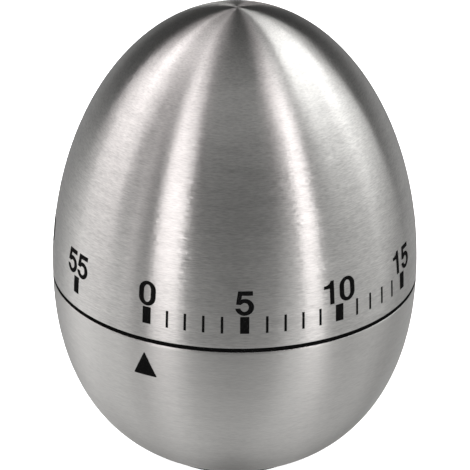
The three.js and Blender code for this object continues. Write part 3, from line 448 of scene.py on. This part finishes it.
def inside(point, outlines):
    crossings = 0
    for outline in outlines:
        for (x1, y1), (x2, y2) in zip(outline, outline[1:] + outline[:1]):
            if (y1 > point[1]) != (y2 > point[1]):
                crossings += point[0] < x1 + (point[1] - y1) * (x2 - x1) / (y2 - y1)
    return crossings % 2 == 1


def ink_triangles(outlines):
    """Points and triangles that fill the outlines, with inner points so that they can be curved."""
    points = []
    edges = []
    for outline in outlines:
        first = len(points)
        for (x1, y1), (x2, y2) in zip(outline, outline[1:] + outline[:1]):
            parts = max(1, math.ceil(math.hypot(x2 - x1, y2 - y1) / INK_GRID))
            for part in range(parts):
                points.append(Vector((x1 + (x2 - x1) * part / parts, y1 + (y2 - y1) * part / parts)))
        count = len(points) - first
        edges += [(first + step, first + (step + 1) % count) for step in range(count)]
    left, right = min(point.x for point in points), max(point.x for point in points)
    low, high = min(point.y for point in points), max(point.y for point in points)
    for column in range(1, int((right - left) / INK_GRID) + 1):
        for row in range(1, int((high - low) / INK_GRID) + 1):
            spot = Vector((left + column * INK_GRID, low + row * INK_GRID))
            if inside(spot, outlines):
                points.append(spot)
    filled = geometry.delaunay_2d_cdt(points, edges, [], 0, 1e-8)
    spots, triangles = filled[0], filled[2]
    kept = []
    for face in triangles:
        middle = sum((spots[corner] for corner in face), Vector((0, 0))) / 3
        if inside(middle, outlines):
            kept.append(face)
    return spots, kept


def printed(name, areas, radius_at, ink):
    """Ink on a turned surface. An area is (angle of its middle, height of its base, outlines)."""
    bm = bmesh.new()
    for azimuth, base, outlines in areas:
        spots, triangles = ink_triangles(outlines)
        layers = []
        for rise in (INK_RISE, -INK_RISE):
            layer = []
            for spot in spots:
                radius = radius_at(abs(base + spot.y))
                turn = azimuth + spot.x / radius
                layer.append(bm.verts.new(around_axis(radius + rise, turn, WIDEST + base + spot.y)))
            layers.append(layer)
        rims = {}
        for face in triangles:
            bm.faces.new([layers[0][corner] for corner in face])
            bm.faces.new([layers[1][corner] for corner in reversed(face)])
            for start, end in zip(face, face[1:] + face[:1]):
                rims[frozenset((start, end))] = None if frozenset((start, end)) in rims else (start, end)
        for rim in rims.values():
            if rim:
                start, end = rim
                bm.faces.new((layers[0][end], layers[0][start], layers[1][start], layers[1][end]))
    loose = [vert for vert in bm.verts if not vert.link_faces]
    bmesh.ops.delete(bm, geom=loose, context="VERTS")
    bmesh.ops.recalc_face_normals(bm, faces=bm.faces)
    mesh = bpy.data.meshes.new(name)
    bm.to_mesh(mesh)
    bm.free()
    mesh.materials.append(ink)
    piece = bpy.data.objects.new(name, mesh)
    bpy.context.scene.collection.objects.link(piece)
    return piece


def speckle(tree, scale, detail=3.0):
    place = add_node(tree, "ShaderNodeTexCoord")
    noise = add_node(tree, "ShaderNodeTexNoise",
                     {"Vector": place.outputs["Object"], "Scale": scale, "Detail": detail})
    return noise.outputs["Fac"]


def raise_grain(tree, shader, noise, strength, depth):
    """Gives the surface a relief that follows the noise."""
    relief = add_node(tree, "ShaderNodeBump", {"Strength": strength, "Distance": depth, "Height": noise})
    tree.links.new(relief.outputs[0], shader.inputs["Normal"])


def matt_finish(name, dark, light, roughness, grain, bump_depth, specular=0.5):
    """A matt surface with a fine moulded or printed grain: colour, gloss and height all vary."""
    material, tree, shader = plain_finish(name, light, roughness)
    shader.inputs["Specular IOR Level"].default_value = specular
    fine = speckle(tree, grain)
    broad = speckle(tree, 90.0)
    tone = add_node(tree, "ShaderNodeMix", {0: 0.5, 2: fine, 3: broad}, data_type="FLOAT")
    tree.links.new(two_tone(tree, tone.outputs[0], dark, light, 0.35, 0.65), shader.inputs["Base Color"])
    vary_gloss(tree, shader, broad, roughness, 0.06)
    raise_grain(tree, shader, fine, 0.4, bump_depth)
    return material


def tick(width):
    half = width / 2
    return [rounded([(-half, 0), (half, 0), (half, TICK_HEIGHT), (-half, TICK_HEIGHT)], TICK_CORNER)]


ink = matt_finish("black_ink", (0.001, 0.001, 0.001), (0.003, 0.003, 0.003), 0.75, 9000.0, 0.004 * mm, 0.03)
tick_areas = []
for number in range(12):
    tick_areas.append((STEP_ANGLE * number, TICK_LOW, tick(BROAD_TICK)))
    if number < FINE_TICKS_UNTIL:
        for minute in range(4):
            azimuth = STEP_ANGLE * number + FINE_FIRST + FINE_PITCH * minute
            tick_areas.append((azimuth, TICK_LOW, tick(FINE_TICK)))
scale_ticks = printed("scale_ticks", tick_areas, dome_radius, ink)
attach(scale_ticks, "dial")

# ---- scale numbers ----
# The numbers 0 to 55 stand above the broad ticks, in the same black ink: bold upright figures
# 3.9 mm tall. Each figure is drawn from straight strokes and parts of ellipses.

NUMBER_LOW = 5.45 * mm
FIGURE_ADVANCE = 3.13
FIGURE_STRETCH = (0.985, 0.955)


def bend(x, y, radius_x, radius_y, start, end):
    """Part of an ellipse; its angles are in degrees, anticlockwise from the right."""
    steps = max(2, round(abs(end - start) / 9))
    angles = [math.radians(start + (end - start) * step / steps) for step in range(steps + 1)]
    return [(x + radius_x * math.cos(angle), y + radius_y * math.sin(angle)) for angle in angles]


FIGURES = {
    "0": (0.08, [
        bend(1.48, 2.6, 1.48, 1.5, 0, 180) + bend(1.48, 1.43, 1.48, 1.51, 180, 360),
        bend(1.48, 2.6, 0.6, 0.9, 0, 180) + bend(1.48, 1.43, 0.6, 0.9, 180, 360),
    ]),
    "1": (0.36, [
        [(1.04, 0), (1.82, 0), (1.82, 4.03), (1.26, 4.03)] + bend(0.1, 4.12, 1.14, 0.82, -6, -88)
        + [(0, 3.3), (0, 2.76), (1.04, 2.76)],
    ]),
    "2": (0.14, [
        [(0, 0), (2.78, 0), (2.78, 0.68), (1.13, 0.68), (1.3, 0.93), (1.62, 1.2), (2.16, 1.57), (2.55, 1.97),
         (2.76, 2.42)]
        + bend(1.42, 2.76, 1.38, 1.32, 0, 192) + bend(1.42, 2.66, 0.62, 0.74, 186, 0)
        + [(1.98, 2.32), (1.72, 1.98), (1.2, 1.6), (0.62, 1.16), (0.2, 0.62)],
    ]),
    "3": (0.12, [
        bend(1.38, 2.92, 1.27, 1.16, 172, -38) + [(2.1, 2.14)] + bend(1.38, 1.24, 1.46, 1.32, 42, -172)
        + bend(1.38, 1.26, 0.68, 0.72, -170, 78) + [(1.1, 1.86), (1.1, 2.4)]
        + bend(1.38, 2.88, 0.56, 0.58, -72, 172),
    ]),
    "4": (0.12, [
        [(1.62, 0), (2.34, 0), (2.34, 0.88), (2.84, 0.88), (2.84, 1.5), (2.34, 1.5), (2.34, 4.0), (1.62, 4.0),
         (0, 1.56), (0, 0.88), (1.62, 0.88)],
        [(1.62, 1.5), (1.62, 2.94), (0.66, 1.5)],
    ]),
    "5": (0.12, [
        [(0.38, 4.04), (2.7, 4.04), (2.7, 3.3), (1.0, 3.3), (0.9, 2.6)]
        + bend(1.42, 1.34, 1.47, 1.43, 108, -172)
        + bend(1.4, 1.33, 0.65, 0.76, -166, 146) + [(0.08, 1.82)],
    ]),
}
across, upright = FIGURE_STRETCH
number_areas = []
for number in range(12):
    label = str(5 * number)
    for place, figure in enumerate(label):
        bearing, outlines = FIGURES[figure]
        shift = FIGURE_ADVANCE * (place - len(label) / 2) + bearing
        drawn = [[((x + shift) * across * mm, y * upright * mm) for x, y in outline] for outline in outlines]
        number_areas.append((STEP_ANGLE * number, NUMBER_LOW, drawn))
scale_numbers = printed("scale_numbers", number_areas, dome_radius, ink)
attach(scale_numbers, "dial")

# ---- bowl ----
# The lower half of the egg, which stands still. Drawn and brushed like the dome, with a round
# mouth below for the base cap.

BOWL_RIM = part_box("base_bowl")[1][2]
BOWL_DEPTH = 33.6 * mm
BOWL_MOUTH = 14.9 * mm
BOWL_POWERS = (2.2, 2.6)
SEAM_DROP = 0.15 * mm


def bowl_line(inset, steps):
    mouth_share = 2 / math.pi * math.acos((BOWL_MOUTH / EGG_RADIUS) ** (BOWL_POWERS[1] / 2))
    points = egg_line(BOWL_DEPTH, *BOWL_POWERS, inset, 0.02, mouth_share, steps)
    return [(radius, WIDEST - height) for radius, height in points]


bowl_outside = bowl_line(0.0, 60)
bowl_inside = bowl_line(SHEET, 40)
bowl_profile = [
    *bowl_outside[::-1],
    (EGG_RADIUS - 0.01 * mm, BOWL_RIM - 0.24 * mm),
    (EGG_RADIUS - 0.04 * mm, BOWL_RIM - 0.18 * mm),
    (EGG_RADIUS - 0.1 * mm, BOWL_RIM - SEAM_DROP),
    (EGG_RADIUS - SHEET + 0.08 * mm, BOWL_RIM - SEAM_DROP),
    (EGG_RADIUS - SHEET, BOWL_RIM - 0.21 * mm),
    *bowl_inside,
]
bowl = turned("bowl_shell", bowl_profile)
bowl_steel = brushed_steel("bowl_steel", 0.5, 0.37, 0.85)
dress(bowl, bowl_steel, "base", "brushed_shell", "base_bowl")

# ---- pointer ----
# A black triangle printed on the bowl, just under the seam, which points up at the minute that
# the dome is set to. It stays still.


def bowl_radius(depth):
    depth_power, spread_power = BOWL_POWERS
    return EGG_RADIUS * (1 - (depth / BOWL_DEPTH) ** depth_power) ** (1 / spread_power)


POINTER_LOW = -6.95 * mm
POINTER_AZIMUTH = math.radians(-0.83)
POINTER_HALF = 2.05 * mm
POINTER_HEIGHT = 4.25 * mm
POINTER_CORNER = 0.16 * mm
triangle = rounded([(-POINTER_HALF, 0), (POINTER_HALF, 0), (0, POINTER_HEIGHT)], POINTER_CORNER)
pointer = printed("pointer_mark", [(POINTER_AZIMUTH, POINTER_LOW, [triangle])], bowl_radius, ink)
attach(pointer, "base")

# ---- bowl liner ----
# The moulded inner shell of the bowl, in black ABS. A dead matt band round it fills the seam and is its
# black line. This is partly painted shade: the band is darker and deader than the moulding, and it stands in
# for the shadow in the gap between dome and bowl as well as for the moulding's own black. The liner's posts
# carry the movement and take the screws of the cap.

black_moulding = matt_finish(
    "black_moulding", (0.002, 0.002, 0.002), (0.005, 0.005, 0.0055), 0.6, 5200.0, 0.012 * mm, 0.12)


def finish_nodes(material, *names):
    """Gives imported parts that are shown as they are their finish."""
    for name in names:
        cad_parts[name].data.materials.clear()
        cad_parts[name].data.materials.append(material)


finish_nodes(black_moulding, "bowl_liner")
# The band's near-black is darker than the liner's black. It is painted shade for the gap between the shells,
# as well as the moulding's own black.
seam_black_and_shade = matt_finish(
    "seam_black_and_shade", (0.0008, 0.0008, 0.0008), (0.002, 0.002, 0.002), 0.8, 5200.0, 0.004 * mm, 0.02)
BAND_EASE = 0.02 * mm
BAND_LOW = BOWL_RIM - 0.13 * mm
BAND_HIGH = DOME_RIM + BAND_EASE
BAND_RADIUS = EGG_RADIUS - 0.02 * mm
seam_band = turned("seam_band", [
    (EGG_RADIUS - SHEET, BAND_LOW),
    (BAND_RADIUS - BAND_EASE, BAND_LOW),
    (BAND_RADIUS, BAND_LOW + BAND_EASE),
    (BAND_RADIUS, DOME_RIM),
    (BAND_RADIUS - BAND_EASE, BAND_HIGH),
    (EGG_RADIUS - SHEET, BAND_HIGH),
])
dress(seam_band, seam_black_and_shade, "base", "black_moulding")

# ---- base cap ----
# The black moulded disc that closes the bowl's mouth. A groove in its underside seats the foot
# ring, and three counterbored holes take the screws.

cap_low, cap_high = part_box("base_cap")
ring_low, ring_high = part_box("foot_ring")
CAP_RADIUS = cap_high[0]
RING_OUTER = ring_high[0]
RING_INNER = 11.2 * mm
GROOVE_TOP = ring_high[2] + 0.3 * mm
GROOVE_ROOM = 0.2 * mm
CAP_SCREW_CIRCLE = 8 * mm
CAP_SCREW_ANGLES = [math.radians(angle) for angle in (90, 210, 330)]
HEAD_HOLE = 1.9 * mm
SHANK_HOLE = 1.1 * mm
HEAD_SEAT = 1.7 * mm
EDGE = 0.12 * mm


def eased(corners, radius=EDGE):
    """A turned profile with its outer corners rounded off; corners on the axis stay sharp."""
    profile = []
    for index, corner in enumerate(corners):
        if corner[0] < ON_AXIS:
            profile.append(corner)
            continue
        here = Vector(corner)
        before = Vector(corners[index - 1]) - here
        after = Vector(corners[(index + 1) % len(corners)]) - here
        reach = min(radius, before.length * 0.45, after.length * 0.45)
        for share in (0.0, 0.33, 0.67, 1.0):
            curve = before.normalized() * reach * (1 - share) ** 2 + after.normalized() * reach * share ** 2
            profile.append(tuple(here + curve))
    return profile


def drilled(piece, cutters):
    """Cuts the cutters out of a piece, and clears them away."""
    for cutter in cutters:
        cut = piece.modifiers.new("cut", "BOOLEAN")
        cut.operation = "DIFFERENCE"
        cut.solver = "EXACT"
        cut.object = cutter
    depsgraph = bpy.context.evaluated_depsgraph_get()
    cut_mesh = bpy.data.meshes.new_from_object(piece.evaluated_get(depsgraph))
    piece.modifiers.clear()
    piece.data = cut_mesh
    for cutter in cutters:
        bpy.data.objects.remove(cutter)
    cut_mesh.set_sharp_from_angle(angle=SHARP_ANGLE)
    return piece


def rod(name, centre, profile, around=48):
    """A small turned part, moved to its own upright axis."""
    piece = turned(name, profile, around)
    piece.data.transform(Matrix.Translation((centre[0], centre[1], 0)))
    return piece


def on_circle(radius, angle):
    return radius * math.cos(angle), radius * math.sin(angle)


cap_disc = turned("cap_disc", eased([
    (0, cap_low[2]),
    (RING_INNER - GROOVE_ROOM, cap_low[2]),
    (RING_INNER - GROOVE_ROOM, GROOVE_TOP),
    (RING_OUTER + GROOVE_ROOM, GROOVE_TOP),
    (RING_OUTER + GROOVE_ROOM, cap_low[2]),
    (CAP_RADIUS, cap_low[2]),
    (CAP_RADIUS, cap_high[2]),
    (0, cap_high[2]),
]), around=144)
holes = []
for angle in CAP_SCREW_ANGLES:
    holes.append(rod("hole", on_circle(CAP_SCREW_CIRCLE, angle), [
        (0, cap_low[2] - mm),
        (HEAD_HOLE, cap_low[2] - mm),
        (HEAD_HOLE, HEAD_SEAT),
        (SHANK_HOLE, HEAD_SEAT),
        (SHANK_HOLE, cap_high[2] + mm),
        (0, cap_high[2] + mm),
    ]))
drilled(cap_disc, holes)
dress(cap_disc, black_moulding, "base", "black_moulding", "base_cap")

# ---- foot ring ----
# A soft black rubber ring that stops the timer from sliding. It is pressed into the cap's groove
# and stands a little proud of it.

RUBBER_EDGE = 0.3 * mm
rubber = matt_finish("foot_rubber", (0.012, 0.012, 0.012), (0.024, 0.024, 0.024), 0.82, 3800.0, 0.02 * mm)
foot = turned("foot_rubber_ring", eased([
    (RING_INNER, ring_low[2]),
    (RING_OUTER, ring_low[2]),
    (RING_OUTER, ring_high[2]),
    (RING_INNER, ring_high[2]),
], RUBBER_EDGE), around=144)
dress(foot, rubber, "base", "foot_rubber", "foot_ring")

# ---- cap screws ----
# Three small pan-head screws of turned steel, with a straight slot. They go up through the cap
# into posts of the liner.


METAL_RELIEF = 0.25
METAL_GRAIN = 0.01 * mm


def drawn_noise(tree, squeeze):
    """Noise squeezed along X, Y and Z by different amounts, which draws it out into a grain."""
    place = add_node(tree, "ShaderNodeTexCoord")
    squeezed = add_node(tree, "ShaderNodeVectorMath", {0: place.outputs["Object"], 1: squeeze},
                        operation="MULTIPLY")
    noise = add_node(tree, "ShaderNodeTexNoise", {"Vector": squeezed.outputs[0], "Scale": 1.0, "Detail": 4.0})
    return noise.outputs["Fac"]


def turned_finish(name, dark, light, roughness, layers=2600.0):
    """Metal turned or drawn along the upright axis: fine rings that vary with height."""
    material, tree, shader = plain_finish(name, light, roughness, 1.0)
    rings = drawn_noise(tree, (60.0, 60.0, layers))
    tree.links.new(two_tone(tree, rings, dark, light, 0.3, 0.7), shader.inputs["Base Color"])
    vary_gloss(tree, shader, rings, roughness, 0.07)
    raise_grain(tree, shader, rings, METAL_RELIEF, METAL_GRAIN)
    return material


turned_steel = turned_finish("turned_steel", (0.42, 0.42, 0.43), (0.58, 0.58, 0.59), 0.3)
HEAD_RADIUS = 1.6 * mm
SHANK_RADIUS = 0.8 * mm
HEAD_TOP = 1.4 * mm
HEAD_EDGE = 0.18 * mm
SLOT_REACH = 2.7 * mm
SLOT_SQUEEZE = (1, 0.11, 0.4, 1)
for index, angle in enumerate(CAP_SCREW_ANGLES):
    node = f"cap_screw_{index + 1}"
    screw_low, screw_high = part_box(node)
    place = on_circle(CAP_SCREW_CIRCLE, angle)
    screw = rod(f"pan_screw_{index + 1}", place, eased([
        (0, screw_low[2]),
        (HEAD_RADIUS, screw_low[2]),
        (HEAD_RADIUS, HEAD_TOP),
        (SHANK_RADIUS, HEAD_TOP),
        (SHANK_RADIUS, screw_high[2]),
        (0, screw_high[2]),
    ], HEAD_EDGE))
    slot_cut = turned("slot", [(0, -mm), (SLOT_REACH, -mm), (SLOT_REACH, mm), (0, mm)], around=4)
    slot_cut.data.transform(Matrix.Rotation(math.pi / 4, 4, "Z"))
    slot_cut.data.transform(Matrix.Diagonal(SLOT_SQUEEZE))
    slot_cut.data.transform(Matrix.Translation((place[0], place[1], screw_low[2])))
    drilled(screw, [slot_cut])
    dress(screw, turned_steel, "base", "turned_steel", node)

# ---- plates and pillars ----
# The movement is built between two round brass plates, which four turned brass pillars hold
# apart. The plates are stamped from rolled sheet and lightly brushed one way.


def rolled_finish(name, dark, light, roughness):
    """Rolled and brushed metal sheet: straight grain along X, with slow patches of tarnish."""
    material, tree, shader = plain_finish(name, light, roughness, 1.0)
    grain = drawn_noise(tree, (120.0, 5200.0, 1500.0))
    patches = speckle(tree, 140.0, 2.0)
    tone = add_node(tree, "ShaderNodeMix", {0: 0.45, 2: grain, 3: patches}, data_type="FLOAT")
    tree.links.new(two_tone(tree, tone.outputs[0], dark, light, 0.3, 0.68), shader.inputs["Base Color"])
    vary_gloss(tree, shader, tone.outputs[0], roughness, 0.08)
    raise_grain(tree, shader, grain, METAL_RELIEF, METAL_GRAIN)
    return material


plate_brass = rolled_finish("plate_brass", (0.52, 0.39, 0.18), (0.72, 0.57, 0.30), 0.32)
turned_brass = turned_finish("turned_brass", (0.55, 0.42, 0.20), (0.74, 0.59, 0.32), 0.26)
finish_nodes(plate_brass, "lower_plate", "upper_plate")
PLATE_GAP = 0.1 * mm
PILLAR_NECK = 0.8 * mm
PILLAR_RADIUS = 1.4 * mm
lower_plate_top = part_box("lower_plate")[1][2]
upper_plate_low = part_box("upper_plate")[0][2]
for number in range(1, 5):
    node = f"pillar_{number}"
    pillar_low, pillar_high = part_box(node)
    centre = ((pillar_low[0] + pillar_high[0]) / 2, (pillar_low[1] + pillar_high[1]) / 2)
    pillar = rod(f"turned_pillar_{number}", centre, eased([
        (0, pillar_low[2]),
        (PILLAR_NECK, pillar_low[2]),
        (PILLAR_NECK, lower_plate_top + PLATE_GAP),
        (PILLAR_RADIUS, lower_plate_top + PLATE_GAP),
        (PILLAR_RADIUS, upper_plate_low - PLATE_GAP),
        (PILLAR_NECK, upper_plate_low - PLATE_GAP),
        (PILLAR_NECK, pillar_high[2]),
        (0, pillar_high[2]),
    ]))
    dress(pillar, turned_brass, "base", "plate_brass", node)

# ---- fixings of the movement ----
# Three screws hold the movement on the liner's posts, and a nut on each pillar clamps the upper
# plate. All are turned from bright steel.

finish_nodes(turned_steel, *[f"mount_screw_{number}" for number in range(1, 4)])
finish_nodes(turned_steel, *[f"pillar_nut_{number}" for number in range(1, 5)])
finish_nodes(turned_steel, "mainspring_post", "lever_stud")

# ---- dial carrier ----
# The dark grey ABS moulding pressed inside the dome. Its hub has a D-shaped bore, so that the
# dome and the main arbor turn together.

grey_moulding = matt_finish(
    "grey_moulding", (0.035, 0.036, 0.038), (0.055, 0.056, 0.06), 0.5, 4600.0, 0.012 * mm)
finish_nodes(grey_moulding, "dial_carrier")

# ---- main arbor ----
# The steel arbor that the dome turns, with the stamped brass stop disc and thrust washer below,
# and the hardened steel ratchet wheel that lets the dial be wound.

stamped_steel = rolled_finish("stamped_steel", (0.40, 0.40, 0.41), (0.56, 0.56, 0.57), 0.34)
finish_nodes(turned_steel, "main_arbor")
finish_nodes(plate_brass, "stop_disc", "thrust_washer")
finish_nodes(stamped_steel, "ratchet_wheel", "click")

# ---- wheel train ----
# Stamped brass wheels on cut steel pinions pass the spring's pull on to the escape wheel. The
# pallet lever lets it go one tooth at a time, and the balance wheel keeps the time.

finish_nodes(plate_brass, "great_wheel", "second_wheel", "third_wheel", "escape_wheel", "balance_wheel")
finish_nodes(turned_brass, "hairspring_collet", "hammer_head")
finish_nodes(turned_steel, "second_pinion", "third_pinion", "escape_pinion", "pallet_staff", "balance_staff",
             "hammer_arbor")
finish_nodes(stamped_steel, "pallet_lever", "release_lever", "hammer_arm")

# ---- springs ----
# The mainspring and the hairspring are coiled from steel strip; the click, lever and hammer
# springs are bent from steel wire. All are tempered to a dark blue, as are the arbor's clip and
# the click's screw.

blue_steel = rolled_finish("blue_steel", (0.05, 0.075, 0.16), (0.13, 0.16, 0.26), 0.3)
finish_nodes(blue_steel, "mainspring", "hairspring", "click_spring", "click_screw", "lever_spring",
             "hammer_spring", "arbor_clip")

# ---- bell ----
# A pressed steel bell, nickel plated, which is clamped on a threaded post above the movement by
# a hexagonal nut. The hammer strikes its rim from inside.

bell_nickel = turned_finish("bell_nickel", (0.62, 0.60, 0.55), (0.72, 0.70, 0.66), 0.14, 700.0)
bell_low, bell_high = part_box("bell")
BELL_FLAT = 6 * mm
BELL_WALL = 0.8 * mm
BELL_BORE = 3.7 * mm
BELL_STEPS = 24
bell_sweep = bell_high[0] - BELL_FLAT
bell_depth = bell_high[2] - bell_low[2]


def bell_curve(wall):
    """A quarter of an ellipse from the bell's rim to its flat crown, set inwards by the wall."""
    points = []
    for step in range(BELL_STEPS + 1):
        turn = math.pi / 2 * step / BELL_STEPS
        points.append((
            BELL_FLAT + (bell_sweep - wall) * math.cos(turn),
            bell_low[2] + (bell_depth - wall) * math.sin(turn),
        ))
    return points


bell = turned("bell_dome", [
    (BELL_BORE, bell_high[2] - BELL_WALL),
    *bell_curve(BELL_WALL)[::-1],
    *bell_curve(0.0),
    (BELL_BORE, bell_high[2]),
], around=144)
dress(bell, bell_nickel, "base", "bell_nickel", "bell")
post_low, post_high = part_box("bell_post")
POST_BORE = 1.65 * mm
POST_FLANGE = 4.6 * mm
POST_FLANGE_TOP = post_low[2] + 0.6 * mm
POST_RADIUS = 3.4 * mm
post = turned("bell_sleeve", eased([
    (POST_BORE, post_low[2]),
    (POST_FLANGE, post_low[2]),
    (POST_FLANGE, POST_FLANGE_TOP),
    (POST_RADIUS, POST_FLANGE_TOP),
    (POST_RADIUS, post_high[2]),
    (POST_BORE, post_high[2]),
]), around=72)
dress(post, turned_steel, "base", "turned_steel", "bell_post")
finish_nodes(turned_steel, "bell_nut")
